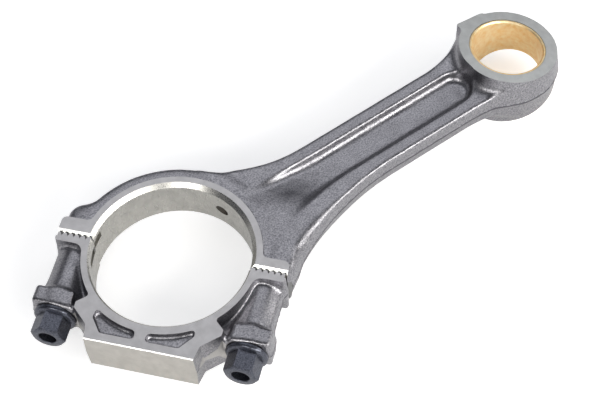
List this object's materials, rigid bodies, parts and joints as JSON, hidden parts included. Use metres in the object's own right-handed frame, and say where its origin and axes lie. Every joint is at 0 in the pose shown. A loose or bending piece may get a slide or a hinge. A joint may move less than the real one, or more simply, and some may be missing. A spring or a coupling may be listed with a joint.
{
  "type": "connecting rod",
  "caption": "Forged I-beam connecting rod with an obliquely split serrated big end, bolted bearing cap and a wedge-faced bushed small end.",
  "frame": {"origin": "centre of the big-end bore at mid width", "axes": "+X along the rod to the small end, +Z along both bores; the rod lies flat"},
  "size_m": [0.3815, 0.1622, 0.0454],
  "materials": {
    "forged_steel": "shot-blasted forging with bright machined faces",
    "bronze": "bored bronze, satin",
    "black_steel": "black oxide"
  },
  "bodies": {
    "rod": {"rod_body": "forged_steel", "small_end_bush": "bronze"},
    "cap": {"bearing_cap": "forged_steel"},
    "bolt_left": {"cap_bolt_left": "black_steel"},
    "bolt_right": {"cap_bolt_right": "black_steel"}
  },
  "joints": [
    {"name": "cap_draw_off", "type": "slide", "parent": "rod", "child": "cap", "axis": [-0.7547, -0.6561, 0], "range_m": [0, 0.024]},
    {"name": "left_bolt_turn", "type": "hinge", "parent": "cap", "child": "bolt_left", "pos_m": [-0.07431, 0.01384, 0], "axis": [-0.7547, -0.6561, 0], "range_deg": [0, 5760.1]},
    {"name": "right_bolt_turn", "type": "hinge", "parent": "cap", "child": "bolt_right", "pos_m": [0.00337, -0.07551, 0], "axis": [-0.7547, -0.6561, 0], "range_deg": [0, 5760.1]}
  ],
  "couplings": [
    {"joint": "left_bolt_turn", "follows": "cap_draw_off", "rad_per_m": 4188.8},
    {"joint": "right_bolt_turn", "follows": "cap_draw_off", "rad_per_m": 4188.8}
  ]
}
